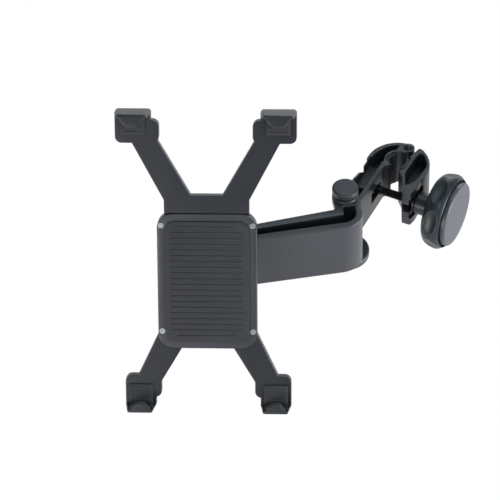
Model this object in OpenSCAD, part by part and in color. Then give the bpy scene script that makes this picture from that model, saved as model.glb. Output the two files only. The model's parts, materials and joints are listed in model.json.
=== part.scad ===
// Headrest tablet mount: a post clamp with a scalloped knob, a swivel arm, a ball joint
// and a sprung four-claw holder. Millimetres. The origin is the axis of the bar that the jaws
// grip, at their middle height, +Z runs up the bar, and the holder faces -Y.

/* [Post clamp] */
// Diameter of the upright bar between the pads
post_d = 12.2; // [10:0.1:14]
// Height of both jaws along the bar
jaw_h = 30; // [26:1:36]
// Wall of the hollow jaws
jaw_wall = 3; // [2.4:0.1:3.4]
// Width of the fixed jaw from its grip face to its back
fixed_w = 14; // [13.5:0.1:15]
// Distance along the fixed jaw from the bar's axis to the arm pivot
pivot_reach = 54.1; // [52:0.1:60]
// Distance along the jaws from the bar's axis to their hinge pin
hinge_reach = 13.9; // [13.5:0.1:15]
// Distance along the jaws from the bar's axis to the screw
screw_reach = 19; // [18.5:0.1:20]
// Thickness of the rubber grip pads behind the bar
pad_t = 2; // [1.6:0.1:2.4]
// Diameter of the jaw hinge pin
hinge_pin_d = 4.4; // [4:0.1:5]
// Height of the floor inside the fixed jaw, above its middle
floor_z = 6.2; // [6:0.1:9]
// Turn of the clamp about the bar, from +X to the screw
clamp_turn = -30; // [-40:1:-20]

/* [Screw and knob] */
// Diameter of the swing screw
screw_d = 6; // [5:0.1:6.4]
// Outside diameter of the eye at the end of the screw
eye_d = 9.6; // [9:0.1:10]
// Diameter of the pin that the eye swings on
eye_pin_d = 4; // [3:0.1:4.6]
// Distance from the bar's axis back to the eye pin
eye_back = 12.4; // [12:0.1:13]
// Radius of the screw seat on the moving jaw, about the eye pin
seat_r = 34.6; // [34:0.1:35.2]
// Largest diameter of the knob
knob_d = 54; // [50:1:58]
// Diameter of the knob's hub
hub_d = 16; // [14.5:0.5:18]
// Length of the knob's hub
hub_l = 10.5; // [10:0.5:13]
// Width of the knob's rim along the screw
rim_w = 16; // [15:0.5:18]
// Number of finger scallops round the rim
scallops = 7; // [5:1:8]
// Depth of each scallop
scallop_depth = 2.9; // [1.5:0.1:3.2]
// Diameter of the knob's end cap
cap_d = 45.2; // [40:0.1:46]

/* [Arm and pivot] */
// Height of the arm
arm_h = 43; // [40:1:48]
// Wall of the arm's open channel
arm_wall = 5; // [4:0.1:5.4]
// Length of the long leg from the pivot to the ball post
arm_l = 97; // [80:1:120]
// Distance from the pivot to the front face of the arm
arm_front = 31; // [29:0.5:34]
// Outside radius of the arm's elbow
elbow_r = 16; // [13:0.5:17]
// Thickness of the arm's floor
arm_floor = 4; // [3:0.5:6]
// Turn of the arm about the pivot, from the -X direction
arm_turn = 6; // [0:1:10]
// Diameter of the pivot bolt
bolt_d = 6; // [5:0.1:6.4]
// Diameter of the cap over the bolt head
pivot_cap_d = 17.8; // [16:0.1:18]
// Diameter of the lower locking knob
lock_d = 33.6; // [28:0.2:36]

/* [Ball joint] */
// Diameter of the ball
ball_d = 17; // [16.6:0.1:17.4]
// Distance from the ball post's axis to the centre of the ball
ball_reach = 25; // [24:0.5:28]
// Wall of the nylon seat in front of the ball
seat_wall = 1.2; // [0.8:0.1:1.4]
// Outside diameter of the threaded socket
socket_d = 24.4; // [24:0.1:26]
// Outside diameter of the locking ring
ring_d = 30; // [29:0.5:33]
// Lean of the holder back from upright
holder_tilt = 27.5; // [0:0.5:30]
// Turn of the stud and the holder about +Z
holder_turn = -5.5; // [-10:0.5:6]

/* [Holder] */
// Height between the claws at rest
grip_h = 200; // [190:1:220]
// Height of the grip's middle above the ball, along the holder
grip_rise = 25.3; // [20:0.1:30]
// Distance from the ball forward to the front of a held slab
face_depth = 29; // [28.6:0.1:32]
// Thickness of a held slab
slab_t = 7.2; // [6.6:0.1:7.4]
// Distance between the middles of the two upper claws
claw_gap_top = 95.2; // [88:0.2:104]
// Distance between the middles of the two lower claws
claw_gap_low = 90.8; // [88:0.2:100]
// Width of a claw
claw_w = 23.6; // [20:0.2:26]
// How far a claw's lip hooks over the front
lip_h = 5.3; // [4:0.1:7]
// Thickness of a claw's lip
lip_t = 3; // [2:0.1:4]
// Width of the holder's housing
housing_w = 66; // [62:1:76]
// Height of the housing's top edge above the ball
housing_top = 58; // [54:1:62]
// Depth of the housing's bottom edge below the ball
housing_low = 36; // [34:1:42]
// Width of a holder leg
leg_w = 15; // [12:0.5:17]
// How far the sprung yoke slides out
yoke_travel = 40; // [20:1:44]

/* [Hidden] */
$fn = 64;

slate = [0.24, 0.26, 0.28];
dark_slate = [0.19, 0.21, 0.23];
cap_grey = [0.36, 0.37, 0.40];
rubber = [0.07, 0.07, 0.08];
black_steel = [0.06, 0.06, 0.07];
steel = [0.66, 0.68, 0.70];
brass = [0.72, 0.58, 0.30];
nylon = [0.80, 0.79, 0.74];

// Fits: radial clearance of a pin in its own piece, of a running pin, and between moving faces
fit = 0.03;
run_fit = 0.06;
face_gap = 0.2;
over = 1;

// Clamp, seen from above: X runs out along the screw, Y along the jaws to their hinge
post_r = post_d / 2;
grip_x = post_r - 0.2;
pad_back = post_r + pad_t;
pad_lip = post_r * 0.75;
fixed_back = grip_x + fixed_w;
pivot_x = -(grip_x + 8.9);
hinge_x = 2.1;
lug_r = 4.2;
knuckle_h = 16;
hook_r = 22.4;
hook_c = [hook_r - fixed_back, -5];
knuckle_r = 7.4;
seat_x = seat_r - eye_back;
eye_h = 8;
slot_h = 9.2;
nose_slot_h = 7.2;
web_h = 10;
swing_max = 45;
grip_span = 16;
grip_near = grip_span / 2 - 1;
move_high = grip_span / 2 - 3;
seat_from = 247;
seat_to = 123;
back_wall = 1.4;
hook_wall = 2.6;
liner_wall = 1.4;
floor_end = -6;
notch_end = -screw_reach + 5.2;
deep_web = 4;
bow_r = 24.2;
bow_wall = 2.2;
bow_c = [seat_x - 22, -5.2];
nose_y = -28.2;
nose_tip = [16.2, nose_y];
nose_out = [seat_x + 0.1, nose_y];

// Along the screw
washer_t = 1.2;
washer_x = seat_x + 0.3;
hub_x = washer_x + washer_t + face_gap;
rim_x = hub_x + hub_l;
rim_end = rim_x + rim_w;
cap_t = 6.4;
cap_x = rim_end - 3;
screw_end = rim_x + 8;
rim_front = 8;
rim_back = 9.5;
rim_mid = rim_end - rim_front * sin(50);

// Arm: origin at the pivot, the long leg along -X
ear_gap = 15.8 + (jaw_h - 30) / 2;
ear_r = 9;
neck_x = 8.9;
elbow_c = [ear_r - elbow_r, -(arm_front - elbow_r)];
leg_rear = 11.8;
leg_rear_end = 17;
post_end_r = 10.5;
post_end_y = -24;
arm_boss_h = 1.5;
ring_t = 1.3;
bolt_head_h = 3.8;
bolt_top = arm_h / 2 + arm_boss_h + ring_t;
lock_hub_h = 8.4;
lock_disc_h = 5.8;
lock_top = -arm_h / 2 - face_gap;

// Ball joint and holder: origin at the ball, -Y forward, Z up the holder
ball_r = ball_d / 2;
neck_r = 3.4;
stud_flat = 8;
flange_t = 2.5;
seat_out = ball_r + run_fit + seat_wall;
socket_in = seat_out + run_fit;
socket_r = socket_d / 2;
ring_r = ring_d / 2;
ring_lip = 4;
ring_back = 6;
pad_angle = 34;
back_depth = 12;
shell_t = 2;
yoke_t = 3.4;
yoke_engage = 32;
yoke_low = housing_top - yoke_engage - yoke_travel;
yoke_depth = back_depth + shell_t + face_gap;
cover_depth = yoke_depth + yoke_t + face_gap;
leg_depth = back_depth + 1.5;
front_depth = cover_depth + shell_t;
back_pad_t = 1.5;
claw_pad_t = 0.9;
claw_pad_w = 16;
claw_pad_l = 13;
slab_back = face_depth - slab_t;
grip_top = grip_rise + grip_h / 2;
grip_low = grip_rise - grip_h / 2;
claw_top_t = 3.3;
track_w = housing_w - 9.4;
spring_x = 18.5;
spring_od = 3;
spring_low = -(housing_low - 12);
spring_high = 31;

function pivot_place() = [pivot_x * cos(clamp_turn) + pivot_reach * sin(clamp_turn),
                          pivot_x * sin(clamp_turn) - pivot_reach * cos(clamp_turn), 0];
function arm_to_world(p) = pivot_place() + [p[0] * cos(arm_turn) - p[1] * sin(arm_turn),
                                            p[0] * sin(arm_turn) + p[1] * cos(arm_turn), 0];
ball_post = arm_to_world([-arm_l, post_end_y]);
ball_place = ball_post + ball_reach * [sin(holder_turn), -cos(holder_turn), 0];

module in_clamp() { rotate(clamp_turn) children(); }
module on_screw() { in_clamp() translate([0, -screw_reach, 0]) rotate([0, 90, 0]) children(); }
module in_arm() { translate(pivot_place()) rotate(arm_turn) children(); }
module on_stud() { translate(ball_post) rotate([90, 0, holder_turn]) children(); }
module in_holder() { translate(ball_place) rotate([-holder_tilt, 0, holder_turn]) children(); }

// Points along an arc, from one angle to another
function arc_points(cx, cy, r, from, to, steps) = [for (i = [0:steps]) let (a = from + (to - from) * i / steps)
  [cx + r * cos(a), cy + r * sin(a)]];

// A slab that starts at a depth in front of the ball and is drawn as seen from the front
module at_depth(depth, t) { translate([0, -depth, 0]) rotate([90, 0, 0]) linear_extrude(t) children(); }
module slab(h) { linear_extrude(h, center = true) children(); }
module tube(r_out, r_in, h) {
  difference() {
    cylinder(r = r_out, h = h);
    translate([0, 0, -over]) cylinder(r = r_in, h = h + 2 * over);
  }
}
module rounded_rect(x0, y0, x1, y1, r) {
  translate([x0 + r, y0]) square([x1 - x0 - 2 * r, y1 - y0]);
  translate([x0, y0 + r]) square([x1 - x0, y1 - y0 - 2 * r]);
  for (x = [x0 + r, x1 - r], y = [y0 + r, y1 - r]) translate([x, y]) circle(r);
}
// A straight strip with round ends that tapers from one width to another
module strip(a, b, wa, wb) {
  turn = atan2(b[1] - a[1], b[0] - a[0]);
  long = norm(b - a);
  translate(a) circle(wa / 2);
  translate(b) circle(wb / 2);
  translate(a) rotate(turn) polygon([[0, -wa / 2], [long, -wb / 2], [long, wb / 2], [0, wa / 2]]);
}
module both_sides() {
  children();
  mirror([1, 0, 0]) children();
}
module both_faces() {
  children();
  mirror([0, 0, 1]) children();
}

// Fixed jaw
module fixed_outline() {
  knuckle_start = 180 - acos((fixed_back + pivot_x) / knuckle_r);
  lug_off = [hinge_x - hook_c[0], hinge_reach - hook_c[1]];
  lug_far = norm(lug_off);
  lug_end = atan2(lug_off[1], lug_off[0]) + acos((hook_r * hook_r - lug_far * lug_far - lug_r * lug_r) / (2 * lug_far * lug_r));
  lug_top = [hinge_x + lug_r * cos(lug_end), hinge_reach + lug_r * sin(lug_end)];
  hook_start = atan2(lug_top[1] - hook_c[1], lug_top[0] - hook_c[0]);
  polygon(concat(
    arc_points(pivot_x, -pivot_reach, knuckle_r, knuckle_start, 370, 30),
    [[-grip_x, -pivot_reach + 7], [-grip_x, -grip_near - 3.6]],
    arc_points(0, 0, pad_back, seat_from, seat_to, 24),
    arc_points(0, 0, pad_back, seat_to - 5, acos(hinge_x / pad_back), 8),
    arc_points(hinge_x, hinge_reach, lug_r, -90, lug_end, 22),
    arc_points(hook_c[0], hook_c[1], hook_r, hook_start + 1, 180, 26)));
}
module hook_pocket() {
  difference() {
    intersection() {
      translate(hook_c) circle(hook_r - hook_wall);
      polygon([[-fixed_back, floor_end], [-pad_back - 0.2, floor_end], [-pad_back - 0.2, 4], [-4.8, 9], [-4.8, 25],
        [-fixed_back, 25]]);
    }
    circle(pad_back + liner_wall);
  }
}
module jaw_floor_area() {
  translate([-fixed_back + back_wall, -29.5]) square([fixed_w - jaw_wall - back_wall, 30 + floor_end]);
}
module knuckle_pocket() {
  translate([-fixed_back + back_wall, -44]) square([fixed_w - jaw_wall - back_wall, 15.5]);
}
module screw_sweep() {
  reach = eye_back + 20;
  half = screw_d / 2 + 0.5;
  translate([-eye_back, -screw_reach]) {
    circle(eye_d / 2 + 0.4);
    polygon([[0, half], [reach, half], [reach, -half - reach * tan(swing_max)], [0, -half / cos(swing_max)]]);
  }
}
module fixed_jaw() {
  pocket_h = jaw_h / 2 - deep_web / 2;
  color(slate) in_clamp() difference() {
    slab(jaw_h) fixed_outline();
    both_faces() translate([0, 0, jaw_h / 2 - pocket_h]) linear_extrude(pocket_h + over) {
      hook_pocket();
      knuckle_pocket();
    }
    both_faces() translate([0, 0, floor_z]) linear_extrude(jaw_h) jaw_floor_area();
    // Sloping notch through the back wall, and the step beside it
    translate([-fixed_back - over, 0, 0]) rotate([90, 0, 90]) linear_extrude(back_wall + 2 * over)
      polygon([[notch_end - 16.2, jaw_h / 2], [notch_end - 7.7, jaw_h / 2 - 2.2], [notch_end, floor_z + 0.4],
        [notch_end, jaw_h], [notch_end - 16.2, jaw_h]]);
    translate([-fixed_back - over, notch_end - 0.1, jaw_h / 2 - 2.7]) cube([back_wall + 2 * over, 5.5, jaw_h]);
    slab(slot_h) screw_sweep();
    translate([hinge_x, hinge_reach, 0]) cylinder(r = lug_r + 1, h = knuckle_h + 2 * face_gap, center = true);
    translate([hinge_x, hinge_reach, -jaw_h]) cylinder(r = hinge_pin_d / 2 + fit, h = 2 * jaw_h);
    translate([-eye_back, -screw_reach, -jaw_h]) cylinder(r = eye_pin_d / 2 + fit, h = jaw_h + slot_h / 2 + 0.9);
    translate([pivot_x, -pivot_reach, -jaw_h]) cylinder(r = bolt_d / 2 + run_fit, h = 2 * jaw_h);
  }
}

// A rubber pad with a groove for the bar, cross ribs and a flat back
module grip_pad(y0, y1) {
  difference() {
    translate([pad_lip, y0, -jaw_h / 2 + 1]) cube([pad_back - pad_lip, y1 - y0, jaw_h - 2]);
    translate([0, 0, -jaw_h]) cylinder(r = post_r, h = 2 * jaw_h);
    for (y = [y0 + 1.2, y1 - 1.9]) translate([pad_lip - over, y, -jaw_h]) cube([over + 0.6, 0.7, 2 * jaw_h]);
  }
}
// The fixed jaw's pad is a curved liner in its round seat
module fixed_grip_pad() {
  color(rubber) in_clamp() difference() {
    slab(jaw_h - 2) polygon(concat(
      arc_points(0, 0, pad_back, seat_from, seat_to, 24), arc_points(0, 0, post_r - 1, seat_to, seat_from, 24)));
    cylinder(r = post_r, h = 2 * jaw_h, center = true);
  }
}

// Moving jaw
module moving_outline() {
  difference() {
    union() {
      intersection() {
        translate(bow_c) circle(bow_r);
        polygon([[9.1, hinge_reach + 2.4], [30, hinge_reach + 2.4], [30, -13], [grip_x + 3, -13],
          [grip_x - 0.6, -grip_near - 3.3], [grip_x, -grip_near], [grip_x + 0.3, move_high]]);
      }
      polygon(concat([[seat_x + 0.9, -12.9], [seat_x + 1.3, -22.8]], arc_points(nose_out[0] - 1, nose_out[1] + 1.4, 1.4, 0, -90, 5),
        [nose_tip, [10.3, -15.8], [grip_x - 0.6, -grip_near - 3.3], [12, -8]]));
    }
    polygon([[-30, -grip_near - 3.2], [grip_x - 0.7, -grip_near - 3.2], [pad_back, -grip_near], [pad_back, move_high],
      [-30, move_high]]);
  }
}
module moving_pocket() {
  intersection() {
    translate(bow_c) circle(bow_r - bow_wall);
    polygon([[11.3, 12], [24, 12], [seat_x - 1.2, 2], [seat_x - 1.6, -9], [seat_x - 2.8, -22.4], [seat_x - 3.8, -24.9],
      [16.6, -24.3], [pad_back + 2.4, -11], [pad_back + 2, -7.8], [pad_back + 2, move_high]]);
  }
}
module moving_jaw() {
  pocket_h = jaw_h / 2 - web_h / 2;
  color(slate) in_clamp() difference() {
    union() {
      slab(jaw_h) moving_outline();
      slab(knuckle_h) {
        translate([hinge_x, hinge_reach]) circle(lug_r);
        polygon([[hinge_x, hinge_reach + lug_r], [10, 14], [11, 2], [pad_back, move_high + 1], [hinge_x + 1, hinge_reach - lug_r]]);
      }
    }
    both_faces() translate([0, 0, jaw_h / 2 - pocket_h]) linear_extrude(pocket_h + over) moving_pocket();
    // Deeper away from the slot
    both_faces() translate([0, 0, deep_web / 2]) linear_extrude(jaw_h) intersection() {
      moving_pocket();
      translate([0, -screw_reach + 7]) square([40, 40]);
    }
    // Round seat for the washer, and the open slot that the screw swings out of
    translate([-eye_back, -screw_reach, 0]) difference() {
      cylinder(r = seat_r + 12, h = hub_d + 1.4, center = true);
      cylinder(r = seat_r, h = 2 * hub_d, center = true);
      translate([-60, screw_reach - 10, -20]) cube([120, 80, 40]);
    }
    translate([0, -60, -nose_slot_h / 2]) cube([40, 60 - screw_reach + nose_slot_h / 2 + 1.5, nose_slot_h]);
    translate([hinge_x, hinge_reach, -jaw_h]) cylinder(r = hinge_pin_d / 2 + run_fit, h = 2 * jaw_h);
  }
}
module moving_grip_pad() {
  color(rubber) in_clamp() grip_pad(-grip_near, move_high);
}

module jaw_hinge_pin() {
  color(steel) in_clamp() translate([hinge_x, hinge_reach, 0]) {
    difference() {
      translate([0, 0, -jaw_h / 2 - 1.6]) cylinder(d = hinge_pin_d, h = jaw_h + 1.7);
      translate([0, 0, -jaw_h / 2 - 0.9]) tube(hinge_pin_d, hinge_pin_d / 2 - 0.4, 0.8);
    }
    translate([0, 0, jaw_h / 2]) rotate_extrude() dome_profile(hinge_pin_d / 2 + 1.2, 1.7);
  }
}
// Half section of a domed head that stands on a flat face
module dome_profile(r, h) {
  dome = (r * r + h * h) / (2 * h);
  polygon(concat([[0, 0], [r, 0]], [for (i = [1:7]) let (x = r * (1 - i / 8)) [x, sqrt(dome * dome - x * x) - dome + h]],
    [[0, h]]));
}
module hinge_pin_clip() {
  color(steel) in_clamp() translate([hinge_x, hinge_reach, -jaw_h / 2 - 0.9 + 0.05]) difference() {
    tube(hinge_pin_d / 2 + 1.4, hinge_pin_d / 2 - 0.4 + fit, 0.7);
    translate([0, -0.9, -over]) cube([hinge_pin_d * 2, 1.8, 3 * over]);
  }
}
module eye_pin() {
  color(steel) in_clamp() translate([-eye_back, -screw_reach, -floor_z]) cylinder(d = eye_pin_d, h = floor_z + slot_h / 2 + 0.8);
}
module swing_screw() {
  color(black_steel) in_clamp() translate([-eye_back, -screw_reach, 0]) difference() {
    union() {
      cylinder(d = eye_d, h = eye_h, center = true);
      rotate([0, 90, 0]) cylinder(d = screw_d, h = eye_back + screw_end - 0.6);
      translate([eye_back + screw_end - 0.6, 0, 0]) rotate([0, 90, 0])
        cylinder(r1 = screw_d / 2, r2 = screw_d / 2 - 0.6, h = 0.6);
    }
    cylinder(r = eye_pin_d / 2 + run_fit, h = 2 * eye_h, center = true);
  }
}
module thrust_washer() {
  color(black_steel) on_screw() translate([0, 0, washer_x]) tube(hub_d / 2 - 0.4, screw_d / 2 + run_fit, washer_t);
}
module knob_insert() {
  color(brass) on_screw() translate([0, 0, hub_x]) tube(screw_d / 2 + 2, screw_d / 2 + run_fit, hub_l);
}
// Half section of the knob: X is the radius and Y runs along the screw
module knob_section() {
  big = knob_d / 2;
  polygon(concat([[0, hub_x], [hub_d / 2 - 0.6, hub_x], [hub_d / 2, hub_x + 0.6], [hub_d / 2, rim_x - 0.8],
    [hub_d / 2 + 1.6, rim_x + 0.2], [big - rim_back, rim_x + 0.8]],
    arc_points(big - rim_back, rim_mid, rim_back, -62, 0, 8),
    arc_points(big - rim_front, rim_mid, rim_front, 6, 50, 6),
    [[cap_d / 2 + 1.4, rim_end], [cap_d / 2 + 1.4, cap_x], [0, cap_x]]));
}
// One finger scallop: a barrel that is nearly flat along the rim and round across it
module scallop_cut() {
  flat_r = 40;
  round_r = 10;
  translate([knob_d / 2 + flat_r - scallop_depth, 0, rim_mid - 1.8]) rotate_extrude($fn = 128)
    translate([flat_r - round_r, 0]) circle(round_r, $fn = 48);
}
module clamp_knob() {
  color(dark_slate) on_screw() difference() {
    rotate_extrude($fn = 96) knob_section();
    for (i = [0:scallops - 1]) rotate((i + 0.83) * 360 / scallops) scallop_cut();
    translate([0, 0, hub_x - over]) cylinder(r = screw_d / 2 + 2 + fit, h = hub_l + over);
    cylinder(r = screw_d / 2 + 0.5, h = screw_end + 3.4);
    translate([0, 0, cap_x - 2.4]) tube(cap_d / 2 - 3, cap_d / 2 - 6, 3);
  }
}
module knob_cap() {
  color(cap_grey) on_screw() {
    translate([0, 0, cap_x]) rotate_extrude($fn = 96)
      polygon([[0, 0], [cap_d / 2, 0], [cap_d / 2, cap_t - 0.8], [cap_d / 2 - 0.9, cap_t], [0, cap_t]]);
    translate([0, 0, cap_x - 2.2]) tube(cap_d / 2 - 3 - fit, cap_d / 2 - 6 + fit, 2.3);
  }
}

// Arm
module arm_outline() {
  post_top = asin((-leg_rear_end - post_end_y) / post_end_r);
  post_low = asin((post_end_y + arm_front) / post_end_r);
  polygon(concat(
    arc_points(0, 0, ear_r, 0, 180, 32),
    arc_points(-ear_r - 1.8, -leg_rear + 1.8, 1.8, 0, -88, 5),
    arc_points(-arm_l, post_end_y, post_end_r, post_top, 360 - post_low, 30),
    arc_points(elbow_c[0], elbow_c[1], elbow_r, -90, 0, 20)));
}
module channel_outline() {
  right = ear_r - arm_wall + 0.3;
  left = -neck_x + arm_wall;
  rear = -leg_rear - arm_wall - 0.9;
  front = -arm_front + arm_wall + 0.8;
  end = -arm_l + post_end_r;
  r = elbow_r - arm_wall - 1.7;
  polygon(concat(
    arc_points(right - 1.2, -11.5, 1.2, 0, 90, 4),
    arc_points(left + 0.8, -11.1, 0.8, 90, 180, 3),
    arc_points(left - 1.6, rear + 1.6, 1.6, 0, -88, 5),
    [[end, rear - 3], [end, front - 0.6]],
    arc_points(right - r, front + r, r, -90, 0, 14)));
}
module arm() {
  color(slate) in_arm() difference() {
    union() {
      slab(arm_h) arm_outline();
      translate([0, 0, arm_h / 2]) cylinder(r = pivot_cap_d / 2 - 0.5, h = arm_boss_h);
    }
    translate([0, 0, -arm_h / 2 + arm_floor]) linear_extrude(arm_h) channel_outline();
    translate([-20, -8.3, -ear_gap]) cube([40, 30, 2 * ear_gap]);
    translate([0, 0, -arm_h]) cylinder(r = bolt_d / 2 + fit, h = 2 * arm_h);
    translate([-arm_l, post_end_y, 0]) rotate([90, 0, holder_turn - arm_turn]) {
      translate([0, 0, stud_flat]) translate([-20, -arm_h, 0]) cube([40, 2 * arm_h, 20]);
      translate([0, 0, 1]) cylinder(r = 4 + fit, h = 20);
      translate([0, 0, -20]) cylinder(r = 2.5 + run_fit, h = 30);
      translate([0, 0, -25]) cylinder(r = 4.9, h = 20);
    }
  }
}
module pivot_bolt() {
  color(steel) in_arm() {
    translate([0, 0, bolt_top]) cylinder(r = bolt_d * 0.96, h = bolt_head_h, $fn = 6);
    translate([0, 0, lock_top - lock_hub_h - 2.5]) cylinder(d = bolt_d, h = bolt_top - lock_top + lock_hub_h + 2.5);
  }
}
module pivot_washer() {
  color(black_steel) in_arm() translate([0, 0, arm_h / 2 + arm_boss_h])
    tube(pivot_cap_d / 2 - 0.1, bolt_d / 2 + fit, ring_t);
}
module pivot_cap() {
  r = pivot_cap_d / 2;
  pocket = bolt_d * 0.96 + 0.3;
  top = bolt_head_h + 1.4;
  color(slate) in_arm() translate([0, 0, bolt_top]) rotate_extrude()
    polygon([[0, bolt_head_h + 0.1], [pocket, bolt_head_h + 0.1], [pocket, 0], [r - 1.3, 0], [r - 1.3, 0.8], [r, 0.8],
      [r, top - 0.7], [r - 0.7, top - 0.2], [r - 0.9, top - 0.2], [r - 0.95, top - 0.5], [r - 1.15, top - 0.5],
      [r - 1.25, top], [0, top]]);
}
module knuckle_washers() {
  t = ear_gap - jaw_h / 2 - face_gap;
  color(nylon) in_arm() both_faces() translate([0, 0, jaw_h / 2 + face_gap / 2])
    tube(knuckle_r - 0.4, bolt_d / 2 + run_fit, t);
}
module locking_knob() {
  hub_r = pivot_cap_d / 2 - 0.7;
  color(slate) in_arm() difference() {
    translate([0, 0, lock_top]) rotate([180, 0, 0]) rotate_extrude()
      polygon([[0, 0], [hub_r, 0], [hub_r, lock_hub_h], [lock_d / 2 - 0.8, lock_hub_h],
        [lock_d / 2, lock_hub_h + 0.8], [lock_d / 2, lock_hub_h + lock_disc_h - 1.2],
        [lock_d / 2 - 1.2, lock_hub_h + lock_disc_h], [0, lock_hub_h + lock_disc_h]]);
    translate([0, 0, lock_top - 6.2]) cylinder(r = bolt_d * 0.96 + fit, h = 20, $fn = 6);
    translate([0, 0, lock_top - lock_hub_h - 3.2]) cylinder(r = bolt_d / 2 + 0.3, h = 20);
  }
}
module locking_nut() {
  color(steel) in_arm() translate([0, 0, lock_top - 6.2]) difference() {
    cylinder(r = bolt_d * 0.96, h = 5.2, $fn = 6);
    translate([0, 0, -over]) cylinder(r = bolt_d / 2 + run_fit, h = 9);
  }
}

// Ball joint
module ball_stud() {
  color(black_steel) on_stud() difference() {
    union() {
      translate([0, 0, 1.2]) cylinder(r = 4, h = stud_flat);
      translate([0, 0, stud_flat]) cylinder(r = 6.5, h = flange_t);
      translate([0, 0, stud_flat + flange_t - 0.01]) cylinder(r1 = 5, r2 = neck_r, h = 2.5);
      translate([0, 0, stud_flat]) cylinder(r = neck_r, h = ball_reach - stud_flat);
      translate([0, 0, ball_reach]) sphere(ball_r);
    }
    translate([0, 0, -1]) cylinder(r = 2.5 + fit, h = 9.2);
  }
}
module stud_screw() {
  color(steel) on_stud() difference() {
    union() {
      translate([0, 0, -8]) cylinder(r = 4.4, h = 3);
      translate([0, 0, -6]) cylinder(r = 2.5, h = 14);
    }
    translate([0, 0, -8 - over]) cylinder(r = 2.2, h = 1.6 + over, $fn = 6);
  }
}
module ball_seat() {
  color(nylon) in_holder() rotate([90, 0, 0]) difference() {
    sphere(seat_out);
    sphere(ball_r + run_fit);
    translate([0, 0, -30 + seat_out * cos(pad_angle)]) cylinder(r = 20, h = 30);
  }
}
module grip_ring() {
  color(nylon) in_holder() rotate([-90, 0, 0]) difference() {
    translate([0, 0, 1]) cylinder(r = socket_in - run_fit, h = ring_lip - 1.2);
    sphere(ball_r + run_fit);
    translate([0, -0.8, 0]) cube([20, 1.6, 10]);
  }
}
module locking_ring() {
  grip = 16;
  color(slate) in_holder() rotate([-90, 0, 0]) difference() {
    translate([0, 0, -5.6]) rotate_extrude($fn = 96)
      polygon([[socket_r + run_fit, 0], [ring_r - 0.6, 0], [ring_r, 0.6], [ring_r, 9], [ring_r - 3, ring_back + 5.6],
        [10.6, ring_back + 5.6], [8.3, ring_lip + 5.6], [socket_r + run_fit, ring_lip + 5.6]]);
    for (i = [0:grip - 1]) rotate(i * 360 / grip) translate([ring_r + 0.9, 0, -10]) cylinder(r = 1.7, h = 13.5, $fn = 24);
  }
}

// Holder
// A claw over the upper edge of the slab: a bar that narrows forward and a bevelled tab
module claw(edge, w, lip) {
  front = face_depth + 0.4;
  inner = claw_pad_t + 0.05;
  tab = w / 2 - 4.6;
  translate([0, 0, edge]) {
    hull() {
      at_depth(leg_depth, 7) polygon([[-w / 2, inner], [-w / 2, claw_top_t - 1.6], [-w / 2 + 1.6, claw_top_t - 0.4],
        [w / 2 - 1.6, claw_top_t - 0.4], [w / 2, claw_top_t - 1.6], [w / 2, inner]]);
      at_depth(front - 0.01, lip_t - 0.6) polygon([[-w / 2 + 1.6, inner], [-w / 2 + 1.9, claw_top_t - 1],
        [-w / 2 + 3, claw_top_t], [w / 2 - 3, claw_top_t], [w / 2 - 1.9, claw_top_t - 1], [w / 2 - 1.6, inner]]);
    }
    hull() {
      at_depth(front, lip_t - 1) polygon([[-w / 2 + 2.2, claw_top_t - 0.8], [w / 2 - 2.2, claw_top_t - 0.8], [tab + 0.4, 0.6],
        [tab - 2.2, -lip + 1], [tab - 3.6, -lip], [3.6 - tab, -lip], [2.2 - tab, -lip + 1], [-tab - 0.4, 0.6]]);
      at_depth(front, lip_t) polygon([[-w / 2 + 3.2, claw_top_t - 1], [w / 2 - 3.2, claw_top_t - 1], [tab - 0.7, 0.4],
        [tab - 3.2, -lip + 1.7], [tab - 4.2, -lip + 1.1], [4.2 - tab, -lip + 1.1], [3.2 - tab, -lip + 1.7], [0.7 - tab, 0.4]]);
    }
  }
}
// The head of a leg behind the slab, with a rounded shoulder towards the middle
module leg_head(w, shoulder, edge) {
  at_depth(leg_depth, front_depth - leg_depth) translate([0, edge]) {
    rounded_rect(-w / 2, -16, w / 2, claw_top_t - 0.6, 3);
    rounded_rect(-shoulder, -19, w / 2, -3.6, 4.4);
  }
}
module claw_pad(edge, s) {
  translate([0, 0, edge]) mirror([0, 0, s > 0 ? 0 : 1]) {
    at_depth(front_depth, slab_back - front_depth - 0.3) rounded_rect(-claw_pad_w / 2, -claw_pad_l, claw_pad_w / 2, claw_pad_t, 0.6);
    at_depth(slab_back - 0.31, face_depth + 0.4 - slab_back) rounded_rect(-claw_pad_w / 2, 0, claw_pad_w / 2, claw_pad_t, 0.3);
  }
}
module housing_outline() {
  rounded_rect(-housing_w / 2, -housing_low, housing_w / 2, housing_top, 10);
}
module lower_legs() {
  both_sides() {
    strip([housing_w / 2 - 11, -housing_low + 11], [claw_gap_low / 2 - 3, grip_low + 11], leg_w + 4, leg_w);
  }
}
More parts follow.
